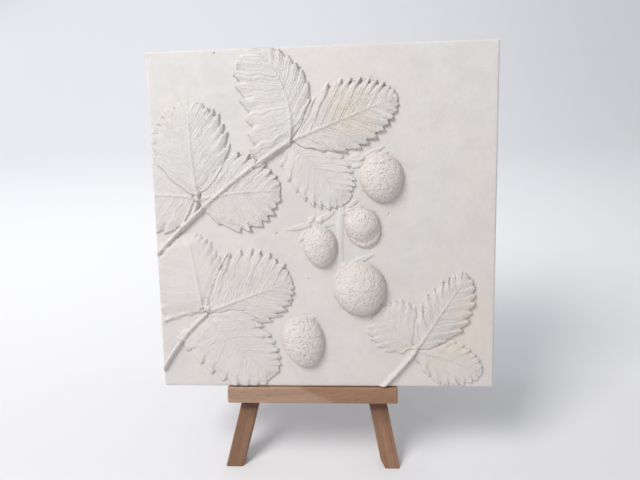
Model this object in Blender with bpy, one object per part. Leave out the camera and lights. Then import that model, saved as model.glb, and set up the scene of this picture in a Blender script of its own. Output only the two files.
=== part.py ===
"""A plaster wall tile with strawberry leaves and berries in relief, on a small beech table easel.

Metres, +Z up, X across the tile, +Y away from the viewer. The tile leans back on the two front
legs and stands on the ledge; a third leg, hinged in the head block, props the easel from behind.
"""
import math

import bmesh
import bpy
import numpy as np
from mathutils import Matrix, Vector
from mathutils.geometry import delaunay_2d_cdt

# Driving sizes of the tile
TILE_SIDE = 0.200
TILE_THICKNESS = 0.016
TILE_EDGE_ROUND = 0.002
TILE_CORNER_ROUND = 0.0025
TILE_BACK_BEVEL = 0.001

# Driving sizes of the easel
LEAN = math.radians(15)
LEG_WIDTH = 0.0112
LEG_DEPTH = 0.008
FEET_APART = 0.1030
FEET_LEFT_OF_TILE = 0.0109
LEFT_SPLAY = math.radians(15.2)
RIGHT_SPLAY = math.radians(10.5)
LEGS_MEET_GAP = 0.0016
WORN_CORNER = 0.002
TILE_ABOVE_FEET = 0.0626
LEDGE_LENGTH = 0.1038
LEDGE_LEFT_OF_TILE = 0.0085
LEDGE_HEIGHT = 0.010
LEDGE_PROUD = 0.0015
HEAD_WIDTH = 0.036
HEAD_HEIGHT = 0.018
HEAD_THICKNESS = 0.008
HEAD_BELOW_LEG_TOP = 0.003
CHEEK_WIDTH = 0.007
CHEEK_BEHIND_PIN = 0.006
PIN_DIAMETER = 0.003
PIN_OVERHANG = 0.0008
PIN_BEHIND_HEAD = 0.007
REAR_LEG_OPEN = math.radians(28)
EDGE_BREAK = 0.0006

# Clearances: between faces that touch on the real piece, and beside what turns
CONTACT_GAP = 0.0003
TURNING_GAP = 0.0005

# The relief is drawn in units, 200 to the tile's side
UNIT = TILE_SIDE / 200
HALF_FACE = 100 - TILE_EDGE_ROUND / UNIT
LEAF_EDGE = 0.7
MIDRIB_HEIGHT = 0.8
MIDRIB_HALF_WIDTH = 1.1
PLEAT_HEIGHT = 0.65
LEAF_CAMBER = 0.7
VEIN_FAN_AT_BASE = 0.75
VEIN_FAN_AT_TIP = 1.3
BASE_ROUNDNESS = 1.35
TOOTH_DEPTH = 0.13
TOOTH_TIP = 0.8
SEPAL_HEIGHT = 1.0

PLASTER = ("plaster", (0.80, 0.77, 0.73), 0.75, 0.0)
BEECH = ("beech", (0.47, 0.30, 0.19), 0.55, 0.0)
STEEL = ("steel", (0.60, 0.60, 0.60), 0.35, 1.0)


def smooth(t):
    """Ease from 0 to 1 as t goes from 0 to 1"""
    t = np.clip(t, 0, 1)
    return t * t * (3 - 2 * t)


class Leaflet:
    """One leaflet of a strawberry leaf, lying from its base to its tip.

    left and right are the half widths on either side of the midrib, bend is how far the midrib
    bows to the left, blunt is how round the tip is, and fan is how far the side veins lean
    towards the tip on the left and right.
    A lobe is how far the blade reaches back behind its base, and widest is where it is widest,
    as shares of the length.
    A place on the leaflet is (u, v): along the midrib and across it, in leaf lengths.
    """

    def __init__(self, base, tip, left, right, rise, teeth, bend=0.0, blunt=2.0,
                 widest=0.5, lobes=(0.0, 0.0), fan=(1.0, 1.0)):
        self.base = np.array(base, float)
        self.axis = np.array(tip, float) - self.base
        self.length = math.hypot(*self.axis)
        self.widths = (left / self.length, right / self.length)
        self.lobes = lobes
        self.bend = bend / self.length
        self.widest = widest
        self.blunt = blunt
        self.teeth = teeth
        self.rise = rise
        self.first_vein = [VEIN_FAN_AT_BASE * f - lobe / w for f, lobe, w in zip(fan, lobes, self.widths)]
        self.last_vein = [VEIN_FAN_AT_TIP * f for f in fan]

    def side(self, pair, v):
        return np.where(np.asarray(v) >= 0, pair[0], pair[1])

    def bow(self, u):
        return self.bend * 4 * u * (1 - u)

    def to_face(self, u, v):
        """The point of the tile's face at (u, v)"""
        v = v + self.bow(u)
        x = self.base[0] + u * self.axis[0] - v * self.axis[1]
        y = self.base[1] + u * self.axis[1] + v * self.axis[0]
        return x, y

    def to_leaf(self, x, y):
        """The (u, v) of a point of the tile's face"""
        dx, dy = x - self.base[0], y - self.base[1]
        u = (dx * self.axis[0] + dy * self.axis[1]) / self.length ** 2
        v = (dy * self.axis[0] - dx * self.axis[1]) / self.length ** 2
        return u, v - self.bow(u)

    def half_width(self, u, v):
        """Half width of the blade without its teeth, a rounded oval"""
        lobe = self.side(self.lobes, v)
        ahead = (u - self.widest) / (1 - self.widest)
        behind = (self.widest - u) / (self.widest + lobe)
        far = np.clip(np.where(u > self.widest, ahead, behind), 0, 1)
        power = np.where(u > self.widest, self.blunt, BASE_ROUNDNESS + 4 * lobe)
        return self.side(self.widths, v) * (1 - far ** power) ** (1 / power)

    def on_vein(self, k, reach, v):
        """The u of a point on the side vein that leaves the midrib at k, reach away from it"""
        first, last = self.side(self.first_vein, v), self.side(self.last_vein, v)
        return k * (1 + reach * (last - first)) + reach * first

    def vein_at(self, u, v):
        """Where on the midrib the side vein through (u, v) starts"""
        first, last = self.side(self.first_vein, v), self.side(self.last_vein, v)
        reach = np.abs(v)
        return (u - reach * first) / (1 + reach * (last - first))

    def saw(self, k):
        """0 on the side vein of each tooth, 1 in the notch before and after it"""
        p = k * self.teeth
        p = p - np.floor(p)
        rise = np.clip(1 - p / TOOTH_TIP, 0, 1) ** 1.4
        return np.where(p < TOOTH_TIP, rise, (p - TOOTH_TIP) / (1 - TOOTH_TIP))

    def inset(self, u, v):
        """How far inside the toothed margin (u, v) lies, in units; negative outside it"""
        k = self.vein_at(u, v)
        reach = np.abs(v) / (1 - TOOTH_DEPTH * self.saw(k))
        along = self.on_vein(k, reach, v)
        slope = (self.half_width(along + 0.01, v) - self.half_width(along - 0.01, v)) / 0.02
        inside = (self.half_width(along, v) - reach) / np.sqrt(1 + slope ** 2)
        return np.minimum(inside, (k + 0.05) * 0.8) * self.length

    def surface(self, u, v):
        """Height of the blade over the tile's plain face, in units"""
        k = self.vein_at(u, v)
        reach = np.abs(v) * self.length
        share = np.abs(v) / np.maximum(self.side(self.widths, v), 0.01)
        spread = smooth(share * 3)
        midrib_width = MIDRIB_HALF_WIDTH * (1 - 0.55 * np.clip(u, 0, 1))
        midrib = MIDRIB_HEIGHT * (1 - 0.6 * np.clip(u, 0, 1)) * np.exp(-(reach / midrib_width) ** 2)
        pleat = PLEAT_HEIGHT * (1 - self.saw(k)) * spread
        camber = LEAF_CAMBER * (1 - np.clip(share, 0, 1) ** 2)
        return self.rise + midrib + pleat + camber

    def margin(self, v, inset, shares):
        """The side veins k and reaches where one side's margin lies, inset units inside it"""
        k = np.array([-0.04] + [(i + share) / self.teeth for i in range(self.teeth)
                                for share in shares if i + share > 0] + [0.999])
        steps = np.linspace(0, 0.9, 91)
        grid_k, grid_reach = np.meshgrid(k, steps, indexing="ij")
        inside = self.inset(self.on_vein(grid_k, grid_reach, v), v * (grid_reach + 1e-9)) > inset
        found = inside.any(axis=1)
        k, inside = k[found], inside[found]
        last = len(steps) - 1 - np.argmax(inside[:, ::-1], axis=1)
        low, high = steps[last], steps[np.minimum(last + 1, len(steps) - 1)]
        for _ in range(16):
            middle = (low + high) / 2
            keep = self.inset(self.on_vein(k, middle, v), v * (middle + 1e-9)) > inset
            low, high = np.where(keep, middle, low), np.where(keep, high, middle)
        return k, low


# The leaflets of the four leaves, the lowest first, as they overlap
LEAFLETS = [
    Leaflet((-76, 16), (-123, 16), 24, 20, 1.0, 8, bend=-2, lobes=(0.12, 0)),
    Leaflet((-72, 15), (-23, 19), 24, 24.5, 1.1, 8, bend=1.5, blunt=1.8, lobes=(0, 0.05),
            fan=(1.15, 1.0)),
    Leaflet((-73, 17), (-76, 71), 24.5, 23.5, 1.7, 9, bend=1, blunt=2.2, fan=(1.1, 1.3)),
    Leaflet((-17, 46), (15.5, 12), 17, 18.5, 0.9, 9, blunt=2.2, lobes=(0, 0.12), fan=(1.3, 1.1)),
    Leaflet((-17, 47.5), (45, 71), 22, 20, 1.4, 11, blunt=1.7, fan=(1.2, 1.1)),
    Leaflet((-17, 48), (-37, 100), 27, 15, 1.9, 9, bend=-7, blunt=2.3, widest=0.4,
            lobes=(0.35, 0), fan=(0.75, 1.2)),
    Leaflet((-71, -53), (-18, -34), 29, 20, 1.1, 9, blunt=2.2, fan=(0.95, 1.5)),
    Leaflet((-73, -51), (-80, -5), 30, 17, 1.6, 8, blunt=2.2, lobes=(0.32, 0), fan=(0.6, 1.4)),
    Leaflet((-71, -56), (-31, -94), 20.5, 26, 1.6, 9, blunt=2.4, widest=0.32, lobes=(0, 0.36),
            fan=(1.1, 0.9)),
    Leaflet((55, -77), (94, -91), 12, 17, 1.0, 8, bend=1, blunt=1.8, lobes=(0, 0.05),
            fan=(1.0, 0.8)),
    Leaflet((53, -74), (30.5, -54), 15.5, 18.5, 1.1, 7, blunt=2.6, lobes=(0.08, 0),
            fan=(0.8, 0.8)),
    Leaflet((54, -77), (84, -31), 13.5, 17.5, 1.6, 9, blunt=1.8, fan=(1.3, 1.0)),
]


class Stem:
    """A round stem or stalk, half sunk in the face, along a curve bent by one middle point"""

    def __init__(self, start, middle, end, half_width, height):
        t = np.linspace(0, 1, 25)[:, None]
        corners = [np.array(point, float) for point in (start, middle, end)]
        self.points = (1 - t) ** 2 * corners[0] + 2 * t * (1 - t) * corners[1] + t ** 2 * corners[2]
        self.half_width = half_width
        self.height = height

    def surface(self, x, y):
        """Height over the plain face, 0 beside the stem"""
        place = np.stack([x, y], axis=-1)
        nearest = np.full(place.shape[:-1], np.inf)
        for start, end in zip(self.points[:-1], self.points[1:]):
            run = end - start
            along = np.clip(((place - start) @ run) / (run @ run), 0, 1)
            nearest = np.minimum(nearest, np.linalg.norm(place - start - along[..., None] * run, axis=-1))
        return self.height * np.sqrt(np.clip(1 - (nearest / self.half_width) ** 2, 0, 1))

    def lines(self):
        """Lines along the stem: its two feet, its two shoulders and its crest"""
        run = np.gradient(self.points, axis=0)
        across = np.stack([-run[:, 1], run[:, 0]], axis=1) / np.linalg.norm(run, axis=1)[:, None]
        return [(self.points + across * self.half_width * share)[::3] for share in (-1, -0.75, 0, 0.75, 1)]


STEMS = [
    Stem((-101, -19), (-62, 21.2), (-17.5, 47.3), 1.6, 3.3),
    Stem((-78, 4), (-73.2, 9.5), (-73, 19), 1.3, 2.9),
    Stem((-101, -91), (-88.6, -68.5), (-71.5, -54.5), 1.6, 3.0),
    Stem((33, -101), (45, -89), (54.5, -76.5), 1.9, 3.0),
    Stem((11.5, 9), (9.5, -8), (10.5, -26), 2.1, 0.7),
]


class Berry:
    """A berry in high relief: half an egg, whose tip points the way of its heading"""

    def __init__(self, centre, half_width, half_length, heading, taper, height):
        self.centre = centre
        self.half_width = half_width
        self.half_length = half_length
        self.heading = math.radians(heading)
        self.taper = taper
        self.height = height

    def outwards(self, x, y):
        """0 in the middle, 1 on the outline"""
        dx, dy = x - self.centre[0], y - self.centre[1]
        along = (dx * math.cos(self.heading) + dy * math.sin(self.heading)) / self.half_length
        across = (dy * math.cos(self.heading) - dx * math.sin(self.heading)) / self.half_width
        across = across / (1 - self.taper * np.clip(along, -1, 1))
        return np.hypot(along, across)

    def surface(self, x, y):
        return self.height * np.sqrt(np.clip(1 - self.outwards(x, y) ** 2, 0, 1))

    def ring(self, share, count):
        """A closed ring of points, share of the way from the middle to the outline"""
        turns = np.linspace(0, 2 * math.pi, count + 1)
        along = share * np.cos(turns)
        across = share * np.sin(turns) * self.half_width * (1 - self.taper * along)
        along = along * self.half_length
        x = self.centre[0] + along * math.cos(self.heading) - across * math.sin(self.heading)
        y = self.centre[1] + along * math.sin(self.heading) + across * math.cos(self.heading)
        return np.stack([x, y], axis=1)


BERRIES = [
    Berry((34.6, 25), 12.5, 13.8, -80, 0.10, 9.0),
    Berry((24.2, -4.4), 10.2, 10.8, -70, 0.05, 4.5),
    Berry((23.2, -1.6), 10.1, 9.8, -80, 0.05, 7.5),
    Berry((-1.5, -14.3), 9.8, 12, -86, 0.12, 7.5),
    Berry((21.5, -39.4), 15.3, 16, -80, 0.04, 10.5),
    Berry((-12.6, -71.6), 12.6, 15.8, -79, 0.12, 8.5),
]


class Sepal:
    """A narrow pointed leaf of a berry's calyx, lying over what is under it"""

    def __init__(self, start, end, half_width):
        self.start = np.array(start, float)
        self.run = np.array(end, float) - self.start
        self.length = math.hypot(*self.run)
        self.half_width = half_width

    def blade(self, t):
        """Half width at t along the sepal"""
        t = np.clip(t, 0, 1)
        return self.half_width * np.sqrt(4 * t * (1 - t))

    def surface(self, x, y):
        dx, dy = x - self.start[0], y - self.start[1]
        t = (dx * self.run[0] + dy * self.run[1]) / self.length ** 2
        across = (dy * self.run[0] - dx * self.run[1]) / self.length
        share = np.abs(across) / np.maximum(self.blade(t), 1e-6)
        return SEPAL_HEIGHT * np.sqrt(np.clip(1 - share ** 2, 0, 1))

    def lines(self):
        """The sepal's outline and its crest"""
        t = np.array([0, 0.08, 0.3, 0.6, 0.88, 1])
        across = np.array([-self.run[1], self.run[0]]) / self.length
        spine = self.start + t[:, None] * self.run
        half = self.blade(t)[:, None] * across
        return [np.concatenate([spine + half, (spine - half)[::-1]]), spine[1:-1]]


SEPALS = [
    Sepal((22, 36), (36.5, 43.2), 1.9),
    Sepal((25, 35.5), (39.5, 40.3), 1.7),
    Sepal((26.5, 34), (42, 36.8), 1.7),
    Sepal((25, 37.5), (15.5, 36.5), 3.0),
    Sepal((24, 34), (17, 31.2), 1.4),
    Sepal((19, 7.5), (11, 4.5), 1.7),
    Sepal((16.5, 8), (24, 9.3), 1.4),
    Sepal((15, 9), (21.5, 13.3), 1.5),
    Sepal((-6, -1), (-21.5, -4), 1.8),
    Sepal((-7, -2.5), (-14.2, -11.5), 1.8),
    Sepal((-8, 0), (-4, 4.5), 1.3),
    Sepal((-3, 0.6), (8, 7), 2.0),
    Sepal((-3.5, -1.3), (7, -1.2), 1.6),
    Sepal((12, -26.5), (31, -18.6), 1.9),
    Sepal((12, -27), (6.8, -33), 1.7),
    Sepal((-13, -57.2), (-22, -59.5), 1.6),
    Sepal((-12, -57.2), (-4.5, -56.6), 1.5),
]


def relief_height(x, y):
    """Height of the relief over the tile's plain face, in units"""
    height = np.zeros_like(x)
    for leaflet in LEAFLETS:
        u, v = leaflet.to_leaf(x, y)
        cover = smooth(leaflet.inset(u, v) / LEAF_EDGE)
        height = height + (leaflet.surface(u, v) - height) * cover
    for form in STEMS + BERRIES:
        height = np.maximum(height, form.surface(x, y))
    for sepal in SEPALS:
        height = height + sepal.surface(x, y)
    return height


def leaflet_lines(leaflet):
    """The lines that carry one leaflet: margin, foot of the margin, midrib, veins and pleats"""
    shares = (0, 0.25, TOOTH_TIP)
    lines, outer, inner = [], {}, {}
    for v in (1, -1):
        outer[v] = np.stack(leaflet.to_face(*leaf_place(leaflet, *leaflet.margin(v, 0, shares), v)), axis=1)
        k, reach = leaflet.margin(v, LEAF_EDGE, shares)
        inner[v] = np.stack(leaflet.to_face(*leaf_place(leaflet, k, reach, v)), axis=1)
        for start, end in zip(k, reach):
            share = start * leaflet.teeth % 1
            on_vein = abs(share - TOOTH_TIP) < 0.01
            if end > 0.1 and (on_vein or share < 0.01):
                steps = np.array([0.08, 0.45, 1]) if on_vein else np.array([0.3, 1])
                place = leaf_place(leaflet, start, end * steps, v)
                lines.append(np.stack(leaflet.to_face(*place), axis=1))
    lines.append(np.concatenate([outer[1], outer[-1][::-1], outer[1][:1]]))
    lines.append(np.concatenate([inner[1], inner[-1][::-1], inner[1][:1]]))
    u = np.linspace(0.02, 0.94, 9)
    for share in (-1.3, 0, 1.3):
        half = share * MIDRIB_HALF_WIDTH * (1 - 0.55 * u) / leaflet.length
        lines.append(np.stack(leaflet.to_face(u, half), axis=1))
    return lines


def leaf_place(leaflet, k, reach, v):
    return leaflet.on_vein(k, reach, v), v * reach


def hidden(points, above):
    """Which points lie under one of the leaflets above, or under a berry"""
    x, y = points[:, 0], points[:, 1]
    under = np.zeros(len(points), bool)
    for leaflet in above:
        under |= leaflet.inset(*leaflet.to_leaf(x, y)) > LEAF_EDGE / 2
    for berry in BERRIES:
        under |= berry.outwards(x, y) < 0.97
    return under


def cut_to_face(start, end):
    """The part of a segment that lies within the face, or None"""
    low, high = 0.0, 1.0
    run = end - start
    for axis in (0, 1):
        for sign in (-1, 1):
            room = HALF_FACE - sign * start[axis]
            rate = sign * run[axis]
            if abs(rate) < 1e-12:
                if room < 0:
                    return None
            elif rate > 0:
                high = min(high, room / rate)
            else:
                low = max(low, room / rate)
    return (start + low * run, start + high * run) if high - low > 1e-6 else None


def relief_segments():
    """Every straight piece of the lines that the relief's surface must follow"""
    segments = []
    for index, leaflet in enumerate(LEAFLETS):
        for line in leaflet_lines(leaflet):
            under = hidden(line, LEAFLETS[index + 1:])
            segments += [(a, b) for a, b, skip in zip(line, line[1:], under[:-1] & under[1:]) if not skip]
    for form in STEMS + SEPALS:
        for line in form.lines():
            segments += list(zip(line, line[1:]))
    for berry in BERRIES:
        for share, count in ((1, 28), (0.93, 20), (0.72, 14), (0.4, 8)):
            ring = berry.ring(share, count)
            segments += list(zip(ring, ring[1:]))
    cut = [cut_to_face(a, b) for a, b in segments]
    return [pair for pair in cut if pair]


def face_border():
    """The closed border of the plain face, with rounded corners"""
    radius = TILE_CORNER_ROUND / UNIT
    points = []
    for quarter, (sx, sy) in enumerate(((1, 1), (-1, 1), (-1, -1), (1, -1))):
        for step in range(4):
            turn = math.radians(90 * quarter + 30 * step)
            points.append(((HALF_FACE - radius) * sx + radius * math.cos(turn),
                           (HALF_FACE - radius) * sy + radius * math.sin(turn)))
    return points


def relief_mesh():
    """The tile's front as a mesh whose edges follow the lines of the relief"""
    border = face_border()
    places = [Vector(point) for point in border]
    edges = [(i, (i + 1) % len(border)) for i in range(len(border))]
    for start, end in relief_segments():
        edges.append((len(places), len(places) + 1))
        places += [Vector(start), Vector(end)]
    verts, _, faces, *_ = delaunay_2d_cdt(places, edges, [], 0, 0.02)
    flat = np.array([tuple(v) for v in verts])
    limit = HALF_FACE + 0.01
    height = relief_height(flat[:, 0], flat[:, 1])
    bm = bmesh.new()
    made = [bm.verts.new((x * UNIT, y * UNIT, z * UNIT)) for (x, y), z in zip(flat, height)]
    for face in faces:
        if all(abs(flat[i]).max() <= limit for i in face):
            bm.faces.new([made[i] for i in face])
    return bm


def close_tile(bm):
    """Round the front's edge, then give the tile its sides and its flat back"""
    rings = [(1 - 0.3 * TILE_EDGE_ROUND / (TILE_SIDE / 2), -0.3 * TILE_EDGE_ROUND),
             (1, -TILE_EDGE_ROUND),
             (1, TILE_BACK_BEVEL - TILE_THICKNESS),
             (1 - TILE_BACK_BEVEL / (TILE_SIDE / 2), -TILE_THICKNESS)]
    front = 1 - TILE_EDGE_ROUND / (TILE_SIDE / 2)
    loop = [edge for edge in bm.edges if edge.is_boundary]
    start = {vert: vert.co.copy() for edge in loop for vert in edge.verts}
    for size, depth in rings:
        before = {vert for edge in loop for vert in edge.verts}
        made = bmesh.ops.extrude_edge_only(bm, edges=loop)["geom"]
        loop = [item for item in made if isinstance(item, bmesh.types.BMEdge) and item.is_boundary]
        for vert in {vert for edge in loop for vert in edge.verts}:
            twin = next(edge.other_vert(vert) for edge in vert.link_edges if edge.other_vert(vert) in before)
            place = start[twin]
            start[vert] = place
            vert.co = (place.x * size / front, place.y * size / front, depth)
    bmesh.ops.holes_fill(bm, edges=loop, sides=0)
    plain = [vert for vert in bm.verts if vert.co.z < -TILE_EDGE_ROUND - UNIT / 10]
    edges = {edge for vert in plain for edge in vert.link_edges}
    bmesh.ops.dissolve_limit(bm, angle_limit=math.radians(0.5), verts=plain, edges=list(edges))
    bmesh.ops.recalc_face_normals(bm, faces=bm.faces)


def material(finish):
    """The material of a finish, made once"""
    name, colour, roughness, metallic = finish
    if name in bpy.data.materials:
        return bpy.data.materials[name]
    made = bpy.data.materials.new(name)
    made.use_nodes = True
    shader = made.node_tree.nodes["Principled BSDF"]
    shader.inputs["Base Color"].default_value = (*colour, 1)
    shader.inputs["Roughness"].default_value = roughness
    shader.inputs["Metallic"].default_value = metallic
    return made


def add_piece(name, bm, finish, parent):
    """Turn a bmesh into a named object of one finish under a parent"""
    mesh = bpy.data.meshes.new(name)
    bm.to_mesh(mesh)
    bm.free()
    mesh.materials.append(material(finish))
    piece = bpy.data.objects.new(name, mesh)
    piece.parent = parent
    bpy.context.scene.collection.objects.link(piece)
    return piece


def add_empty(name, location, turn):
    empty = bpy.data.objects.new(name, None)
    empty.location = location
    empty.rotation_euler = (turn, 0, 0)
    bpy.context.scene.collection.objects.link(empty)
    return empty


def box(low, high):
    """A box between two corners, with its edges just broken"""
    bm = bmesh.new()
    low, high = Vector(low), Vector(high)
    size = high - low
    place = Matrix.Translation((low + high) / 2) @ Matrix.Diagonal((*size, 1))
    bmesh.ops.create_cube(bm, size=1, matrix=place)
    return bm


def break_edges(bm, edges=None):
    """Take the sharpness off edges, as sandpaper does"""
    bmesh.ops.bevel(bm, geom=edges or bm.edges[:], offset=EDGE_BREAK, segments=1, affect="EDGES",
                    profile=0.5, material=-1)


def cut_flat(bm, point, normal):
    """Cut away what lies on the normal's side of a plane, and close the cut"""
    geometry = bm.verts[:] + bm.edges[:] + bm.faces[:]
    cut = bmesh.ops.bisect_plane(bm, geom=geometry, plane_co=point, plane_no=normal, clear_outer=True)
    edges = [item for item in cut["geom_cut"] if isinstance(item, bmesh.types.BMEdge)]
    bmesh.ops.holes_fill(bm, edges=edges, sides=0)


# Places that follow from the sizes, in the leaning frame: x across, y up the face, z out of it
TILE_BOTTOM = -TILE_SIDE / 2
LEDGE_TOP = TILE_BOTTOM - CONTACT_GAP
LEG_FRONT = -TILE_THICKNESS - CONTACT_GAP
LEG_BACK = LEG_FRONT - LEG_DEPTH
FEET = TILE_BOTTOM - TILE_ABOVE_FEET
LEFT_INNER_FOOT = -FEET_LEFT_OF_TILE - FEET_APART / 2 + LEG_WIDTH / 2 / math.cos(LEFT_SPLAY)
RIGHT_INNER_FOOT = -FEET_LEFT_OF_TILE + FEET_APART / 2 - LEG_WIDTH / 2 / math.cos(RIGHT_SPLAY)
LEG_RISE = ((RIGHT_INNER_FOOT - LEFT_INNER_FOOT - LEGS_MEET_GAP)
            / (math.tan(LEFT_SPLAY) + math.tan(RIGHT_SPLAY)))
LEG_TOP = FEET + LEG_RISE
LEGS_MEET = LEFT_INNER_FOOT + LEG_RISE * math.tan(LEFT_SPLAY) + LEGS_MEET_GAP / 2
HEAD_TOP = LEG_TOP - HEAD_BELOW_LEG_TOP
HEAD_FRONT = LEG_BACK - CONTACT_GAP
HEAD_BACK = HEAD_FRONT - HEAD_THICKNESS
PIN_HEIGHT = HEAD_TOP - HEAD_HEIGHT / 2
PIN_DEPTH = HEAD_BACK - PIN_BEHIND_HEAD
SLOT_WIDTH = LEG_WIDTH + 2 * TURNING_GAP
CHEEKS_ACROSS = SLOT_WIDTH + 2 * CHEEK_WIDTH
BORE_DIAMETER = PIN_DIAMETER + 2 * CONTACT_GAP

# The frame's place in the room: the feet stand at zero, and the origin is under the middle
FACE_HEIGHT = -(FEET * math.cos(LEAN) + LEG_FRONT * math.sin(LEAN))


def behind(y, z):
    """How far behind the frame's own point a place of the leaning frame lies"""
    return y * math.sin(LEAN) - z * math.cos(LEAN)


def above(y, z):
    """Height over the floor of a place of the leaning frame"""
    return FACE_HEIGHT + y * math.cos(LEAN) + z * math.sin(LEAN)


REAR_LEG_LENGTH = above(PIN_HEIGHT, PIN_DEPTH) / math.cos(REAR_LEG_OPEN - LEAN)
REAR_FOOT_BACK = (behind(PIN_HEIGHT, PIN_DEPTH) + REAR_LEG_LENGTH * math.sin(REAR_LEG_OPEN - LEAN)
                  + LEG_DEPTH / 2 / math.cos(REAR_LEG_OPEN - LEAN))
REAR_LEG_ABOVE_PIN = (EDGE_BREAK + (PIN_BEHIND_HEAD - CONTACT_GAP - LEG_DEPTH / 2 * math.cos(REAR_LEG_OPEN))
                      / math.sin(REAR_LEG_OPEN))
LEDGE_FRONT = behind(LEDGE_TOP - LEDGE_HEIGHT, LEDGE_PROUD)
FRAME_PLACE = -(REAR_FOOT_BACK + LEDGE_FRONT) / 2


def make_tile(frame):
    bm = relief_mesh()
    close_tile(bm)
    return add_piece("plaster_tile", bm, PLASTER, frame)


def make_ledge(frame):
    """The rail across both legs that the tile stands on"""
    half = LEDGE_LENGTH / 2
    bm = box((-LEDGE_LEFT_OF_TILE - half, LEDGE_TOP - LEDGE_HEIGHT, -TILE_THICKNESS),
             (-LEDGE_LEFT_OF_TILE + half, LEDGE_TOP, LEDGE_PROUD))
    break_edges(bm)
    return add_piece("ledge", bm, BEECH, frame)


def front_leg(side, splay):
    """A straight leg that splays outwards, its foot cut level with the floor"""
    long = LEG_RISE / math.cos(splay) + 4 * LEG_WIDTH
    bm = box((-LEG_WIDTH / 2, -2 * LEG_WIDTH, LEG_BACK), (LEG_WIDTH / 2, long - 2 * LEG_WIDTH, LEG_FRONT))
    break_edges(bm)
    bmesh.ops.rotate(bm, verts=bm.verts, matrix=Matrix.Rotation(side * splay, 3, "Z"))
    bmesh.ops.translate(bm, verts=bm.verts, vec=(side * FEET_APART / 2 - FEET_LEFT_OF_TILE, FEET, 0))
    cut_flat(bm, (0, FEET, LEG_FRONT), (0, -math.cos(LEAN), -math.sin(LEAN)))
    cut_flat(bm, (0, LEG_TOP, 0), (0, 1, 0))
    return bm


def make_front_legs(frame):
    """Both legs; the inner corner of the right foot is worn off, twice as high as it is wide"""
    add_piece("front_leg_left", front_leg(-1, LEFT_SPLAY), BEECH, frame)
    right = front_leg(1, RIGHT_SPLAY)
    cut_flat(right, (RIGHT_INNER_FOOT + WORN_CORNER, FEET, 0), (-2, -1, 0))
    add_piece("front_leg_right", right, BEECH, frame)


def make_head_block(frame):
    """The block across the backs of the legs, with a slot that the rear leg turns in"""
    cheek_back = PIN_DEPTH - CHEEK_BEHIND_PIN
    half = ((HEAD_WIDTH / 2, HEAD_FRONT), (HEAD_WIDTH / 2, HEAD_BACK), (CHEEKS_ACROSS / 2, HEAD_BACK),
            (CHEEKS_ACROSS / 2, cheek_back), (SLOT_WIDTH / 2, cheek_back), (SLOT_WIDTH / 2, HEAD_BACK))
    outline = list(half) + [(-x, z) for x, z in reversed(half)]
    bm = bmesh.new()
    verts = [bm.verts.new((x + LEGS_MEET, HEAD_TOP - HEAD_HEIGHT, z)) for x, z in outline]
    face = bm.faces.new(verts)
    made = bmesh.ops.extrude_face_region(bm, geom=[face])["geom"]
    bmesh.ops.translate(bm, verts=[item for item in made if isinstance(item, bmesh.types.BMVert)],
                        vec=(0, HEAD_HEIGHT, 0))
    bmesh.ops.recalc_face_normals(bm, faces=bm.faces)
    block = add_piece("head_block", bm, BEECH, frame)
    bore_piece(block, frame, (LEGS_MEET, PIN_HEIGHT, PIN_DEPTH))
    return block


def cylinder(diameter, length, place):
    """A round bar along X"""
    bm = bmesh.new()
    turn = Matrix.Translation(place) @ Matrix.Rotation(math.radians(90), 4, "Y")
    bmesh.ops.create_cone(bm, cap_ends=True, segments=24, radius1=diameter / 2, radius2=diameter / 2,
                          depth=length, matrix=turn)
    return bm


def bore_piece(piece, parent, place):
    """Bore a hole for the hinge pin through a piece"""
    bm = cylinder(BORE_DIAMETER, 2 * CHEEKS_ACROSS, place)
    cutter = add_piece(piece.name + "_bore", bm, STEEL, parent)
    cutter.hide_render = True
    cutter.display_type = "WIRE"
    bore = piece.modifiers.new("bore", "BOOLEAN")
    bore.operation = "DIFFERENCE"
    bore.object = cutter


def make_hinge_pin(frame):
    """The steel pin through the cheeks and the rear leg"""
    bm = cylinder(PIN_DIAMETER, CHEEKS_ACROSS + 2 * PIN_OVERHANG, (LEGS_MEET, PIN_HEIGHT, PIN_DEPTH))
    for poly in bm.faces:
        poly.smooth = len(poly.verts) == 4
    return add_piece("hinge_pin", bm, STEEL, frame)


def make_rear_leg(hinge):
    """The leg behind, on the hinge pin; its top corner stops against the head block when open"""
    long = REAR_LEG_LENGTH + 2 * LEG_DEPTH
    bm = box((-LEG_WIDTH / 2, -long, -LEG_DEPTH / 2), (LEG_WIDTH / 2, REAR_LEG_ABOVE_PIN, LEG_DEPTH / 2))
    break_edges(bm)
    tilt = REAR_LEG_OPEN - LEAN
    level = -above(PIN_HEIGHT, PIN_DEPTH)
    floor = Vector((0, level * math.cos(tilt), level * math.sin(-tilt)))
    cut_flat(bm, floor, (0, -math.cos(tilt), math.sin(tilt)))
    leg = add_piece("rear_leg", bm, BEECH, hinge)
    bore_piece(leg, hinge, (0, 0, 0))
    return leg


def main():
    for item in list(bpy.data.objects):
        bpy.data.objects.remove(item, do_unlink=True)
    frame = add_empty("leaning_frame", (0, FRAME_PLACE, FACE_HEIGHT), math.pi / 2 - LEAN)
    pin = (LEGS_MEET, FRAME_PLACE + behind(PIN_HEIGHT, PIN_DEPTH), above(PIN_HEIGHT, PIN_DEPTH))
    hinge = add_empty("rear_leg_hinge", pin, math.pi / 2 + REAR_LEG_OPEN - LEAN)
    make_tile(frame)
    make_ledge(frame)
    make_front_legs(frame)
    make_head_block(frame)
    make_hinge_pin(frame)
    make_rear_leg(hinge)


main()
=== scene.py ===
# %% [markdown]
# # A plaster tile with strawberries, on its table easel
# The real tile is a botanical cast: leaves and berries were pressed into soft clay, and plaster was poured
# over the print. So the relief is as fine as a leaf is, down to its veins, and everything has the one soft
# off-white finish. The solid model already has the sizes, the easel and the main forms of the relief. Here
# the tile gets its fine surface, and plaster, beech and steel get their finishes, under the soft window
# light of the photograph.

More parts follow.
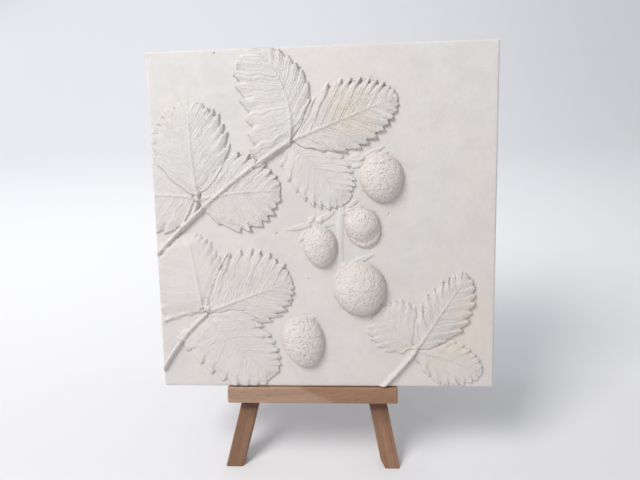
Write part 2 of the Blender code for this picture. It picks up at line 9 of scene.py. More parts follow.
# %% Load the solid model
import math

import bmesh
import bpy
import numpy as np
from mathutils import Matrix, Vector, noise


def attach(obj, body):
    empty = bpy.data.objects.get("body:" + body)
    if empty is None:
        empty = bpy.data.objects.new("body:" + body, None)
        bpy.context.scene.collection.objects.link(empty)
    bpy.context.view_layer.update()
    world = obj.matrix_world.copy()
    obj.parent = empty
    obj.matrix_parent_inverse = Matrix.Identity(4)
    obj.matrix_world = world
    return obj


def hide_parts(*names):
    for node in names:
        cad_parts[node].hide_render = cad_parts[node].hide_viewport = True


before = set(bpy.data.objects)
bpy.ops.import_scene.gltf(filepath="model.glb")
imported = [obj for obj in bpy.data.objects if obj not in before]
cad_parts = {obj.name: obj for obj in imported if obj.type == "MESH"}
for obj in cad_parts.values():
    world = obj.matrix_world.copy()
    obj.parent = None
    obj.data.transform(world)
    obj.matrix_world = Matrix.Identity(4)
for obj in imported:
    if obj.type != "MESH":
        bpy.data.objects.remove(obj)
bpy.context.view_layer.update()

MM = 0.001

# %% [markdown]
# ## The tile's own frame
# The tile leans back, which makes every place on it awkward to name. So its relief is made on a flat sheet,
# with x across the face, y up it and z out of it in millimetres, and a matrix then stands the sheet in the
# room. The matrix is measured from the solid tile, so it holds wherever the tile stands.

# %% From the face to the room
LEAN = math.radians(15)
TILE_SIDE = 200
TILE_THICKNESS = 16
EDGE_ROUND = 1.2
ACROSS = Vector((1, 0, 0))
UP_FACE = Vector((0, math.sin(LEAN), math.cos(LEAN)))
OUT = ACROSS.cross(UP_FACE)

corners = [vert.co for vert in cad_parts["plaster_tile"].data.vertices]
heights = [UP_FACE.dot(place) for place in corners]
depths = [OUT.dot(place) for place in corners]
face_middle = UP_FACE * (max(heights) + min(heights)) / 2 + OUT * (min(depths) + TILE_THICKNESS * MM)
face_turn = Matrix((ACROSS, UP_FACE, OUT)).transposed().to_4x4()
to_room = Matrix.Translation(face_middle) @ face_turn @ Matrix.Scale(MM, 4)
print("The middle of the face stands at", [round(value, 4) for value in face_middle])

# %% [markdown]
# ## How a leaflet is drawn
# A strawberry leaflet is a toothed oval. Each tooth ends a side vein, and the blade is folded along those
# veins like a fan. Drawing every tooth by hand would take hundreds of points, so the leaflet is a rule
# instead: a rounded oval whose reach along each side vein is cut back by a saw profile. The same saw folds
# the blade, which is why the folds run into the teeth as they do on a real leaf. The veins wander a little
# and no two teeth are equally strong, because a rule alone looks stamped.

# %% The leaflet's rule
# Heights, half widths and reaches are in mm, and the rest are shares, powers and rates
LEAF_EDGE = 0.7
MIDRIB_HEIGHT = 0.75
MIDRIB_HALF_WIDTH = 0.9
MIDRIB_TAPER = 0.7
VEIN_HEIGHT = 0.2
VEIN_HALF_WIDTH = 0.45
VEIN_FADE = 0.6
VEIN_WANDER = 0.15
VEIN_WAVES = (17, 13)
VEIN_FAN_AT_BASE = 0.75
VEIN_FAN_AT_TIP = 1.3
TOOTH_DEPTH = 0.13
TOOTH_TIP = 0.8
TOOTH_CURVE = 1.4
TOOTH_UNEVEN = 0.35
TOOTH_TURN = 4.1
FOLD_HEIGHT = 0.14
FOLD_AT_MARGIN = 1.0
FOLD_REACH = 4.5
CRUMPLE_WAVES = (8, 10)
CAMBER = 0.5
MARGIN_SHARE = 0.4
MARGIN_REACH = 7
BASE_ROUNDNESS = 1.35
LOBE_ROUNDNESS = 4
BEHIND_BASE = 0.05
BASE_SLOPE = 0.8
SLOPE_STEP = 0.01
STEEPEST = 4


def smooth(t):
    """Ease from 0 to 1 as t goes from 0 to 1"""
    t = np.clip(t, 0, 1)
    return t * t * (3 - 2 * t)


def waves(u, v, counts, phase):
    """A soft uneven pattern between about -1 and 1, with so many radians along u and along v"""
    a, b = counts[0] * u, counts[1] * v
    return (np.sin(a + 2.1 * b + phase) + np.sin(1.7 * a - b + 2.3 * phase) + np.sin(2.9 * b - 0.6 * a)) / 3


class Leaflet:
    """One leaflet from its base to its tip, with left and right half widths beside its midrib.

    rise is how high the blade lies, and teeth is how many teeth each side has. bend bows the midrib to the
    left, blunt rounds the tip, widest and lobes shape the base, fan leans the side veins towards the tip,
    and bold says how deep the blade was pressed into the clay. A place on it is (u, v), along the midrib and
    across it in leaf lengths.
    """

    def __init__(self, base, tip, left, right, rise, teeth, bend=0.0, blunt=2.0, widest=0.5,
                 lobes=(0.0, 0.0), fan=(1.0, 1.0), bold=1.0):
        self.base = np.array(base, float)
        self.axis = np.array(tip, float) - self.base
        self.length = math.hypot(*self.axis)
        self.widths = (left / self.length, right / self.length)
        self.lobes, self.bend, self.widest = lobes, bend / self.length, widest
        self.blunt, self.teeth, self.rise = blunt, teeth, rise
        self.phase, self.bold = base[0] + tip[1], bold
        self.first_vein = [VEIN_FAN_AT_BASE * f - lobe / w for f, lobe, w in zip(fan, lobes, self.widths)]
        self.last_vein = [VEIN_FAN_AT_TIP * f for f in fan]

    def side(self, pair, v):
        """The pair's first value to the left of the midrib, its second to the right"""
        return np.where(v >= 0, pair[0], pair[1])

    def leans(self, v):
        """How far forward the first and the last side vein lean"""
        return self.side(self.first_vein, v), self.side(self.last_vein, v)

    def place(self, x, y):
        """The (u, v) of a point of the face"""
        dx, dy = x - self.base[0], y - self.base[1]
        u = (dx * self.axis[0] + dy * self.axis[1]) / self.length ** 2
        v = (dy * self.axis[0] - dx * self.axis[1]) / self.length ** 2
        return u, v - self.bend * 4 * u * (1 - u)

    def half_width(self, u, v):
        """Half width of the blade without its teeth"""
        lobe = self.side(self.lobes, v)
        ahead = (u - self.widest) / (1 - self.widest)
        behind = (self.widest - u) / (self.widest + lobe)
        far = np.clip(np.where(u > self.widest, ahead, behind), 0, 1)
        power = np.where(u > self.widest, self.blunt, BASE_ROUNDNESS + LOBE_ROUNDNESS * lobe)
        return self.side(self.widths, v) * (1 - far ** power) ** (1 / power)

    def vein_at(self, u, v):
        """Where on the midrib the side vein through (u, v) starts"""
        first, last = self.leans(v)
        straight = (u - np.abs(v) * first) / (1 + np.abs(v) * (last - first))
        return straight + VEIN_WANDER / self.teeth * waves(u, v, VEIN_WAVES, self.phase)

    def saw(self, k):
        """0 on the side vein of each tooth, 1 in the notch before and after it"""
        p = k * self.teeth
        p = p - np.floor(p)
        rise = np.clip(1 - p / TOOTH_TIP, 0, 1) ** TOOTH_CURVE
        return np.where(p < TOOTH_TIP, rise, (p - TOOTH_TIP) / (1 - TOOTH_TIP))

    def strength(self, number):
        """How strong the fold and the vein of one tooth are; no two are alike"""
        return 1 + TOOTH_UNEVEN * np.sin(TOOTH_TURN * number + self.phase)

    def inset(self, u, v):
        """How far inside the toothed margin a place lies, in mm; negative outside it"""
        k = self.vein_at(u, v)
        reach = np.abs(v) / (1 - TOOTH_DEPTH * self.saw(k))
        first, last = self.leans(v)
        along = k * (1 + reach * (last - first)) + reach * first
        widening = self.half_width(along + SLOPE_STEP, v) - self.half_width(along - SLOPE_STEP, v)
        slope = np.clip(widening / (2 * SLOPE_STEP), -STEEPEST, STEEPEST)
        inside = (self.half_width(along, v) - reach) / np.sqrt(1 + slope ** 2)
        inside = np.minimum(inside, 1 - along)
        return np.minimum(inside, (k + BEHIND_BASE) * BASE_SLOPE) * self.length

    def vein_ridge(self, u, v):
        """The thin raised lines of the side veins, which fade towards the teeth"""
        k = self.vein_at(u, v)
        first, last = self.leans(v)
        lean = first + k * (last - first)
        spacing = self.length * (1 + np.abs(v) * (last - first)) / self.teeth / np.sqrt(1 + lean ** 2)
        p = k * self.teeth - TOOTH_TIP
        away = np.abs(p - np.round(p)) * spacing
        share = np.clip(np.abs(v) / self.side(self.widths, v), 0, 1)
        height = VEIN_HEIGHT * self.bold * self.strength(np.round(p)) * (1 - VEIN_FADE * share)
        return height * np.exp(-(away / VEIN_HALF_WIDTH) ** 2) * (k > 0)

    def crumple(self, u, v):
        """How strongly the blade is folded, from 0 to 1, which differs from place to place"""
        return 0.5 + 0.5 * waves(u, v, CRUMPLE_WAVES, 2 * self.phase)

    def surface(self, u, v):
        """Height of the blade over the tile's plain face, in mm"""
        k = self.vein_at(u, v)
        reach = np.abs(v) * self.length
        share = np.abs(v) / self.side(self.widths, v)
        taper = 1 - MIDRIB_TAPER * np.clip(u, 0, 1)
        midrib = MIDRIB_HEIGHT * taper * np.exp(-(reach / (MIDRIB_HALF_WIDTH * taper)) ** 2)
        inside = np.clip(self.inset(u, v), 0, None)
        margin = MARGIN_SHARE * self.bold
        rise = self.rise * (margin + (1 - margin) * smooth(inside / MARGIN_REACH))
        at_margin = FOLD_AT_MARGIN * np.exp(-(inside / FOLD_REACH) ** 2)
        strength = FOLD_HEIGHT * 2 * self.crumple(u, v) + at_margin
        strength = strength * self.bold * self.strength(np.floor(k * self.teeth))
        fold = strength * (1 - self.saw(k)) * smooth(share * 2)
        camber = CAMBER * (1 - np.clip(share, 0, 1) ** 2)
        return rise + midrib + fold + camber + self.vein_ridge(u, v)


print("A tooth reaches", TOOTH_DEPTH, "of the way back to the midrib")

# %% [markdown]
# ## The drawing of the sprigs
# Four leaves of three leaflets each, the stems that carry them, the berries and their calyxes. The values
# are places on the face in millimetres. They follow the solid tile's, because the fine surface has to lie
# on it, but the stems are a little slimmer here and each leaflet has its own depth. A later leaflet lies
# over the ones before it, as the real leaves do.

# %% The leaflets, the lowest first
LEAFLETS = [
    Leaflet((-76, 16), (-123, 16), 24, 20, 1.0, 8, bend=-2, lobes=(0.12, 0), bold=0.7),
    Leaflet((-72, 15), (-23, 19), 24, 24.5, 1.1, 8, bend=1.5, blunt=1.8, lobes=(0, 0.05),
            fan=(1.15, 1.0), bold=1.05),
    Leaflet((-73, 17), (-76, 71), 24.5, 23.5, 1.7, 9, bend=1, blunt=2.2, fan=(1.1, 1.3), bold=0.8),
    Leaflet((-17, 46), (15.5, 12), 17, 18.5, 0.9, 9, blunt=2.2, lobes=(0, 0.12), fan=(1.3, 1.1), bold=0.6),
    Leaflet((-17, 47.5), (45, 71), 22, 20, 1.4, 11, blunt=1.7, fan=(1.2, 1.1), bold=1.15),
    Leaflet((-17, 48), (-37, 100), 27, 15, 1.9, 9, bend=-7, blunt=2.3, widest=0.4,
            lobes=(0.35, 0), fan=(0.75, 1.2), bold=1.0),
    Leaflet((-71, -53), (-18, -34), 29, 20, 1.1, 9, blunt=2.2, fan=(0.95, 1.5), bold=0.85),
    Leaflet((-73, -51), (-80, -5), 30, 17, 1.6, 8, blunt=2.2, lobes=(0.32, 0), fan=(0.6, 1.4), bold=0.25),
    Leaflet((-71, -56), (-31, -94), 20.5, 26, 1.6, 9, blunt=2.4, widest=0.32, lobes=(0, 0.36),
            fan=(1.1, 0.9), bold=0.6),
    Leaflet((55, -77), (94, -91), 12, 17, 1.0, 8, bend=1, blunt=1.8, lobes=(0, 0.05),
            fan=(1.0, 0.8), bold=0.6),
    Leaflet((53, -74), (30.5, -54), 15.5, 18.5, 1.1, 7, blunt=2.6, lobes=(0.08, 0),
            fan=(0.8, 0.8), bold=0.5),
    Leaflet((54, -77), (84, -31), 13.5, 17.5, 1.6, 9, blunt=1.8, fan=(1.3, 1.0), bold=0.95),
]
print(len(LEAFLETS), "leaflets, the longest", round(max(leaflet.length for leaflet in LEAFLETS)), "mm")

# %% Stems, berries and sepals
STEM_POINTS = 25
STEM_ROUNDNESS = 0.7
SEPAL_HEIGHT = 0.9
SEPAL_SKEW = 0.8
SEPAL_CREASE = 0.45
SEPAL_CREASE_WIDTH = 0.25
BESIDE_SEPAL = 0.6
THINNEST = 1e-6


class Stem:
    """A round stem, half sunk in the face, along a curve bent by one middle point"""

    def __init__(self, start, middle, end, half_width, height):
        t = np.linspace(0, 1, STEM_POINTS)[:, None]
        start, middle, end = (np.array(point, float) for point in (start, middle, end))
        self.points = (1 - t) ** 2 * start + 2 * t * (1 - t) * middle + t ** 2 * end
        self.half_width, self.height = half_width, height

    def away(self, x, y):
        """Distance from the stem's middle line, in half widths"""
        place = np.stack([x, y], axis=-1)
        nearest = np.full(len(place), np.inf)
        for start, end in zip(self.points[:-1], self.points[1:]):
            run = end - start
            along = np.clip(((place - start) @ run) / (run @ run), 0, 1)
            nearest = np.minimum(nearest, np.linalg.norm(place - start - along[:, None] * run, axis=1))
        return nearest / self.half_width

    def surface(self, x, y):
        """Height of the stem over the plain face, in mm"""
        return self.height * np.clip(1 - self.away(x, y) ** 2, 0, 1) ** STEM_ROUNDNESS


class Berry:
    """A berry in high relief: half an egg, whose tip points the way of its heading"""

    def __init__(self, centre, half_width, half_length, heading, taper, height):
        self.centre, self.half_width, self.half_length = centre, half_width, half_length
        self.heading, self.taper, self.height = math.radians(heading), taper, height

    def outwards(self, x, y):
        """0 in the middle, 1 on the outline"""
        dx, dy = x - self.centre[0], y - self.centre[1]
        along = (dx * math.cos(self.heading) + dy * math.sin(self.heading)) / self.half_length
        across = (dy * math.cos(self.heading) - dx * math.sin(self.heading)) / self.half_width
        across = across / (1 - self.taper * np.clip(along, -1, 1))
        return np.hypot(along, across)

    def surface(self, x, y):
        """Height of the berry over the plain face, in mm"""
        return self.height * np.sqrt(np.clip(1 - self.outwards(x, y) ** 2, 0, 1))


class Sepal:
    """A narrow pointed leaf of a berry's calyx, lying over what is under it"""

    def __init__(self, start, end, half_width):
        self.start = np.array(start, float)
        self.run = np.array(end, float) - self.start
        self.length = math.hypot(*self.run)
        self.half_width = half_width

    def surface(self, x, y):
        """How much the sepal adds to the height under it, in mm"""
        dx, dy = x - self.start[0], y - self.start[1]
        t = np.clip((dx * self.run[0] + dy * self.run[1]) / self.length ** 2, 0, 1)
        across = (dy * self.run[0] - dx * self.run[1]) / self.length
        blade = np.maximum(self.half_width * np.sin(np.pi * t ** SEPAL_SKEW), THINNEST)
        from_crease = across / (self.half_width * SEPAL_CREASE_WIDTH)
        crease = 1 - SEPAL_CREASE * np.exp(-from_crease ** 2)
        return SEPAL_HEIGHT * crease * np.sqrt(np.clip(1 - (across / blade) ** 2, 0, 1))

    def near(self, x, y):
        """Whether a place is on the sepal or next to it"""
        middle = self.start + self.run / 2
        dx, dy = x - middle[0], y - middle[1]
        along = (dx * self.run[0] + dy * self.run[1]) / self.length
        across = (dy * self.run[0] - dx * self.run[1]) / self.length
        in_length = np.abs(along) < self.length / 2 + BESIDE_SEPAL
        return in_length & (np.abs(across) < self.half_width + BESIDE_SEPAL)


STEMS = [
    Stem((-101, -19), (-62, 21.2), (-17.5, 47.3), 1.4, 3.1),
    Stem((-78, 4), (-73.2, 9.5), (-73, 19), 1.3, 2.9),
    Stem((-101, -91), (-88.6, -68.5), (-71.5, -54.5), 1.45, 2.9),
    Stem((33, -101), (45, -89), (54.5, -76.5), 1.7, 2.9),
    Stem((11.5, 9), (9.5, -8), (10.5, -26), 2.1, 0.7),
]
BERRIES = [
    Berry((34.6, 25), 12.5, 13.8, -80, 0.10, 9.0),
    Berry((24.2, -4.4), 10.2, 10.8, -70, 0.05, 4.5),
    Berry((23.2, -1.6), 10.1, 9.8, -80, 0.05, 7.5),
    Berry((-1.5, -14.3), 9.8, 12, -86, 0.12, 7.5),
    Berry((21.5, -39.4), 15.3, 16, -80, 0.04, 10.5),
    Berry((-12.6, -71.6), 12.6, 15.8, -79, 0.12, 8.5),
]
SEPALS = [
    Sepal((22, 36), (36.5, 43.2), 1.9),
    Sepal((25, 35.5), (39.5, 40.3), 1.7),
    Sepal((26.5, 34), (42, 36.8), 1.7),
    Sepal((25, 37.5), (15.5, 36.5), 3.0),
    Sepal((24, 34), (17, 31.2), 1.4),
    Sepal((19, 7.5), (11, 4.5), 1.7),
    Sepal((16.5, 8), (24, 9.3), 1.4),
    Sepal((15, 9), (21.5, 13.3), 1.5),
    Sepal((-6, -1), (-21.5, -4), 1.8),
    Sepal((-7, -2.5), (-14.2, -11.5), 1.8),
    Sepal((-8, 0), (-4, 4.5), 1.3),
    Sepal((-3, 0.6), (8, 7), 2.0),
    Sepal((-3.5, -1.3), (7, -1.2), 1.6),
    Sepal((12, -26.5), (31, -18.6), 1.9),
    Sepal((12, -27), (6.8, -33), 1.7),
    Sepal((-13, -57.2), (-22, -59.5), 1.6),
    Sepal((-12, -57.2), (-4.5, -56.6), 1.5),
]
print(len(STEMS), "stems,", len(BERRIES), "berries and", len(SEPALS), "sepals")

# %% [markdown]
# ## From the drawing to one height
# Plaster is one skin, so everything above becomes a single height over the plain face. A leaflet covers
# what is under it, so it is blended in by how far a point lies inside its margin. Stems and berries stand
# through, so they take the larger height, and sepals lie on top of either. The smaller marks of the cast
# come next: a groove beside each berry, the knobs where stalks meet, the creases at a leaf's base and the
# pinholes of trapped air. Small noises stand for what the drawing leaves out: the flesh of the berries
# between their seeds, the soft waves of the blades, and the hand-smoothed plain field.

# %% The height of the plaster
# Middle, radius and height of each knob
KNOBS = [(-18, 47, 2.0, 3.4), (-70.2, -50.6, 2.6, 2.9), (-75.4, -50.2, 2.0, 2.6), (-73.2, 14.5, 1.7, 3.0),
         (54, -75.6, 2.2, 2.9), (-1.2, 1.5, 2.2, 1.8), (12.5, -25.6, 2.2, 1.6)]
CREASES = [
    Stem((-70, -55.5), (-50, -51), (-33, -53.5), 0.7, 1.6),
    Stem((-71, -50), (-66, -30), (-57, -18), 0.8, 2.4),
    Stem((-71, -50), (-84, -44), (-101, -52), 0.9, 1.7),
    Stem((-73, -52), (-87, -53), (-101, -60), 0.9, 1.5),
]
PINHOLES = [(25.5, 3.2), (10.1, -34.6), (-14.2, -66.7), (-11.2, -78), (-27, -6), (-8.6, -33.4), (39, 4.6),
            (-97.5, 98), (-59.5, 97.5)]
PINHOLE_RADIUS = 0.55
PINHOLE_DEPTH = 0.65
PINHOLE_REACH = 1.5
BLADE_THICKNESS = 0.3
BERRY_REACH = 1.02
BERRY_EDGE = 0.12
GROOVE_AT = 1.03
GROOVE_DEPTH = 0.45
GROOVE_HALF_WIDTH = 0.7
GROOVE_TURN = 3
SEED_SPACING = 2.3
SEED_RADIUS = 0.1
SEED_HEIGHT = 0.25
PIT_RADIUS = 0.24
PIT_DEPTH = 0.3
FLESH_SWELL = 0.12

# Height, length and layer of each kind of soft wave
FIELD_WAVES = (0.1, 16, 0)
FIELD_RIPPLES = (0.04, 6, 2)
BLADE_RIPPLES = (0.22, 7, 3)
FLESH_RIPPLES = (0.3, 2.6, 7)


def leaf_cover(x, y):
    """0 beside the leaves and along their margins, and on a blade how deep it was pressed into the clay"""
    cover = np.zeros(len(x))
    for leaflet in LEAFLETS:
        inset = leaflet.inset(*leaflet.place(x, y))
        cover = np.where(inset > 0, leaflet.bold, cover) * smooth(np.abs(inset) / LEAF_EDGE)
    return cover


def berry_cover(x, y):
    """1 on the berries, 0 beside them"""
    outwards = np.min([berry.outwards(x, y) for berry in BERRIES], axis=0)
    return smooth((BERRY_REACH - outwards) / BERRY_EDGE)


def ripples(x, y, kind):
    """Soft waves of a kind, in mm, or in shares of a colour"""
    height, size, layer = kind
    return height * np.array([noise.noise((a / size, b / size, layer)) for a, b in zip(x, y)])


def seeded(x, y, z):
    """The flesh of a berry: pits where the seeds sit, with the seed in each"""
    places = np.stack([x, y, z], axis=1) / SEED_SPACING
    nearest = np.array([noise.voronoi(place)[0][0] for place in places])
    pit = np.exp(-(nearest / PIT_RADIUS) ** 2)
    seed = np.exp(-(nearest / SEED_RADIUS) ** 2)
    return FLESH_SWELL * nearest - PIT_DEPTH * pit + SEED_HEIGHT * seed


def relief_height(x, y):
    """Height of the forms that the solid tile also has, in mm"""
    height = np.zeros(len(x))
    for leaflet in LEAFLETS:
        u, v = leaflet.place(x, y)
        cover = smooth(leaflet.inset(u, v) / LEAF_EDGE)
        own = np.maximum(leaflet.surface(u, v), height + BLADE_THICKNESS)
        height = height + (own - height) * cover
    for form in STEMS + BERRIES:
        height = np.maximum(height, form.surface(x, y))
    for sepal in SEPALS:
        height = height + sepal.surface(x, y)
    return height


def groove_depth(x, y):
    """How deep the groove along each berry is, on its lower right side and not under a later berry"""
    depth = np.zeros(len(x))
    for number, berry in enumerate(BERRIES):
        past = (berry.outwards(x, y) - GROOVE_AT) * berry.half_width
        turned_away = (x - berry.centre[0] - y + berry.centre[1]) / berry.half_width
        groove = smooth(0.5 + turned_away / GROOVE_TURN) * np.exp(-(past / GROOVE_HALF_WIDTH) ** 2)
        for later in BERRIES[number + 1:]:
            groove = groove * (later.outwards(x, y) >= 1)
        depth = depth + GROOVE_DEPTH * groove
    return depth


def plaster_height(x, y):
    """Height of the finished surface, in mm"""
    height = relief_height(x, y)
    berry = berry_cover(x, y)
    on_berry = berry > 0
    places = (x[on_berry], y[on_berry], height[on_berry])
    flesh = np.zeros(len(x))
    flesh[on_berry] = seeded(*places) + ripples(*places[:2], FLESH_RIPPLES)
    height = height - groove_depth(x, y)
    for centre_x, centre_y, radius, top in KNOBS:
        away = np.hypot(x - centre_x, y - centre_y) / radius
        height = np.maximum(height, top * np.sqrt(np.clip(1 - away ** 2, 0, 1)))
    for crease in CREASES:
        height = np.maximum(height, crease.surface(x, y))
    for spot in PINHOLES:
        away = np.hypot(x - spot[0], y - spot[1]) / PINHOLE_RADIUS
        height = height - PINHOLE_DEPTH * smooth(PINHOLE_REACH - away)
    soft = ripples(x, y, FIELD_WAVES) + ripples(x, y, FIELD_RIPPLES)
    return height + soft + leaf_cover(x, y) * ripples(x, y, BLADE_RIPPLES) + berry * flesh


print(len(KNOBS), "knobs,", len(CREASES), "creases and", len(PINHOLES), "pinholes")

# %% [markdown]
# ## The tile's fine surface
# The slab is a box with rounded corners and rims, which bevels make. Its front could then be cut into a
# regular grid, but a grid that is fine enough for a vein spends most of its points on the plain field. So
# the front's long edges are split again and again, until each is as short as the place it lies in needs,
# and the edges between are turned to keep the triangles even. Then every point of the front is raised to
# its height.

# %% The slab
CORNER_ROUND = 1.5
BACK_BEVEL = 1
ROUND_STEPS = 5
BACK_STEPS = 2
START_CELLS = 24
START_SHAKE = 3
# From which z of its normal a face counts as flat, and which distance in mm counts as none
FLAT = 0.999
HAIR = 0.01
SORTED_ALONG = Vector((1, 331, 7919))


def edges_at(bm, fits):
    """The edges whose two ends fit"""
    return [edge for edge in bm.edges if all(fits(vert.co) for vert in edge.verts)]


def round_off(edges, width, steps):
    """Bevel edges of the slab to a round of so many mm"""
    bmesh.ops.bevel(tile_bm, geom=edges, offset=width, segments=steps, profile=0.5, affect="EDGES",
                    material=-1)


def is_inside(vert):
    """Whether a point lies in the flat of the front and not on its rim"""
    return all(face.normal.z > FLAT for face in vert.link_faces)


tile_bm = bmesh.new()
bmesh.ops.create_cube(tile_bm, size=1)
bmesh.ops.scale(tile_bm, verts=tile_bm.verts, vec=(TILE_SIDE, TILE_SIDE, TILE_THICKNESS))
bmesh.ops.translate(tile_bm, verts=tile_bm.verts, vec=(0, 0, -TILE_THICKNESS / 2))
round_off([edge for edge in tile_bm.edges if abs(edge.verts[0].co.z - edge.verts[1].co.z) > 1],
          CORNER_ROUND, ROUND_STEPS)
round_off(edges_at(tile_bm, lambda place: place.z > -HAIR), EDGE_ROUND, ROUND_STEPS)
round_off(edges_at(tile_bm, lambda place: place.z < HAIR - TILE_THICKNESS), BACK_BEVEL, BACK_STEPS)
for direction in (Vector((1, 0, 0)), Vector((0, 1, 0))):
    for step in range(1, START_CELLS):
        middle = direction * (step / START_CELLS - 0.5) * TILE_SIDE
        bmesh.ops.bisect_plane(tile_bm, geom=tile_bm.verts[:] + tile_bm.edges[:] + tile_bm.faces[:],
                               plane_co=middle, plane_no=direction, dist=1e-5)
# Bevels and cuts leave the faces in no fixed order, so they are put in one before the splitting. That isn't
# a full cure: the mesh still differs from run to run, by about one triangle in a hundred.
tile_bm.faces.sort(key=lambda face: face.calc_center_median().dot(SORTED_ALONG))
for vert in filter(is_inside, tile_bm.verts):
    shake = noise.noise_vector(vert.co) * START_SHAKE
    vert.co += Vector((shake.x, shake.y, 0))
for face in tile_bm.faces:
    face.smooth = max(abs(value) for value in face.normal) < FLAT
print("The slab has", len(tile_bm.faces), "faces")

# %% Splitting the front
# The longest edge in each kind of place, in mm
FINE_ON_BERRIES = 0.8
FINE_AT_MARGINS = 0.9
FINE_ON_VEINS = 0.9
FINE_ON_LEAVES = 1.75
FINE_ON_FIELD = 3.8
FINE_AT_PINHOLES = 0.35
# How near counts as near: for stems and berries in half widths, for veins their height, else in mm
STEM_ZONE = 1.5
MIDRIB_ZONE = 1.2
VEIN_ZONE = 0.04
INSIDE_MARGIN = 1
OUTSIDE_MARGIN = 0.5
BERRY_ZONE = 1.04
PINHOLE_ZONE = 1.1
ON_RIM = 0.05
TOO_SHORT = 0.06
PASSES = 6


def wanted_length(x, y):
    """The longest edge that each place on the face may have"""
    length = np.full(len(x), FINE_ON_FIELD)
    near_stem = np.min([stem.away(x, y) for stem in STEMS], axis=0) < STEM_ZONE
    near_sepal = np.max([sepal.near(x, y) for sepal in SEPALS], axis=0)
    length[near_stem | near_sepal] = FINE_AT_MARGINS
    for leaflet in LEAFLETS:
        u, v = leaflet.place(x, y)
        inset = leaflet.inset(u, v)
        on_vein = (leaflet.vein_ridge(u, v) > VEIN_ZONE) | (np.abs(v) * leaflet.length < MIDRIB_ZONE)
        well_inside = inset > INSIDE_MARGIN
        own = np.where(well_inside, np.where(on_vein, FINE_ON_VEINS, FINE_ON_LEAVES), FINE_AT_MARGINS)
        at_margin = np.where(inset > -OUTSIDE_MARGIN, np.minimum(length, own), length)
        length = np.where(well_inside, own, at_margin)
    length[np.min([berry.outwards(x, y) for berry in BERRIES], axis=0) < BERRY_ZONE] = FINE_ON_BERRIES
    length[np.min([np.hypot(x - a, y - b) for a, b in PINHOLES], axis=0) < PINHOLE_ZONE] = FINE_AT_PINHOLES
    return length


def flat_faces(bm):
    """The faces in the flat of the front"""
    return [face for face in bm.faces if face.normal.z > FLAT]


def split_long_edges(bm):
    """Split each edge of the front that is longer than it may be, and even out the triangles"""
    bm.verts.index_update()
    places = np.array([vert.co for vert in bm.verts])
    wanted = wanted_length(places[:, 0], places[:, 1])
    edges = edges_at(bm, lambda place: place.z > -EDGE_ROUND - HAIR)
    ends = np.array([[vert.index for vert in edge.verts] for edge in edges])
    length = np.linalg.norm(places[ends[:, 0]] - places[ends[:, 1]], axis=1)
    too_long = length > np.minimum(wanted[ends[:, 0]], wanted[ends[:, 1]])
    bmesh.ops.subdivide_edges(bm, edges=[edge for edge, flag in zip(edges, too_long) if flag], cuts=1)
    many_sided = [face for face in bm.faces if face.normal.z > FLAT and len(face.verts) > 3
                  or face.normal.z > ON_RIM and len(face.verts) > 4]
    bmesh.ops.triangulate(bm, faces=many_sided)
    inner = [vert for vert in bm.verts if is_inside(vert)]
    bmesh.ops.smooth_vert(bm, verts=inner, factor=0.5, use_axis_x=True, use_axis_y=True)
    loose = [edge for edge in edges_at(bm, lambda place: place.z > -HAIR)
             if any(face.normal.z > FLAT for face in edge.link_faces)]
    bmesh.ops.beautify_fill(bm, faces=flat_faces(bm), edges=loose, method="ANGLE")
    return int(sum(too_long))


for _ in range(PASSES):
    split = split_long_edges(tile_bm)
bmesh.ops.dissolve_degenerate(tile_bm, dist=TOO_SHORT, edges=tile_bm.edges)
bmesh.ops.triangulate(tile_bm, faces=flat_faces(tile_bm))
print("The front has", len(tile_bm.faces), "faces after", PASSES, "passes, the last with", split, "splits")

# %% Raising it to its height
RIM_FADE = 1.1


def rim_share(x, y):
    """1 on the flat of the face, falling to 0 over its rounded rim"""
    past = np.maximum(np.abs(x), np.abs(y)) - (TILE_SIDE / 2 - EDGE_ROUND)
    return 1 - smooth(past / RIM_FADE)


front = [vert for vert in tile_bm.verts if vert.co.z > -EDGE_ROUND]
spots = np.array([vert.co for vert in front])
raised = plaster_height(spots[:, 0], spots[:, 1]) * rim_share(spots[:, 0], spots[:, 1])
for vert, height in zip(front, raised):
    vert.co.z += height
for face in tile_bm.faces:
    if face.calc_center_median().z > -EDGE_ROUND:
        face.smooth = True
print(len(tile_bm.verts), "points, the highest", round(max(raised), 1), "mm over the face")

# %% [markdown]
# ## Marks for the finish
# The plaster is the same everywhere, but its finest texture isn't: the blades carry pleats and a net of
# tiny veins, and the berries are rough. Five attributes on the points tell the material where it is: how
# deep a blade is pressed, which side vein is near, where the berries are, how far a point lies in a hollow,
# and whether the plaster has a warm or a cool tint. The material reads them by name, and with them paints
# the berries lighter as painted light, the hollows darker as painted shade, and the warm patches towards
# the lower right darker as painted shade too.

# %% The tile as an object, with its marks
# Middle, width and strength of each patch that is warmer than the rest, or cooler where it is below 0. The
# warm cream is darker, so the warm patches towards the lower right are painted shade as well as tint
TINT_AND_SHADE_PATCHES = [(16, 60, 24, 1.0), (34, 22, 16, 0.5), (21, -40, 20, 0.6), (88, -60, 40, 0.65),
                  (60, -85, 45, 0.3), (-30, -5, 30, 0.2), (-60, 70, 70, -0.6), (80, 90, 50, -0.4),
                  (60, 20, 30, -0.3), (45, -20, 25, -0.2), (-5, -60, 35, -0.3), (-90, 0, 50, 0.1)]
WIDE_DRIFT = (0.4, 24, 9)
SMALL_DRIFT = (0.3, 9, 11)
HOLLOW_ROUNDS = 12


def vein_count(x, y):
    """Which side vein of the uppermost blade a place is on, counted from its base"""
    count = np.zeros(len(x))
    for leaflet in LEAFLETS:
        u, v = leaflet.place(x, y)
        own = leaflet.vein_at(u, v) * leaflet.teeth - TOOTH_TIP
        count = np.where(leaflet.inset(u, v) > 0, own, count)
    return count


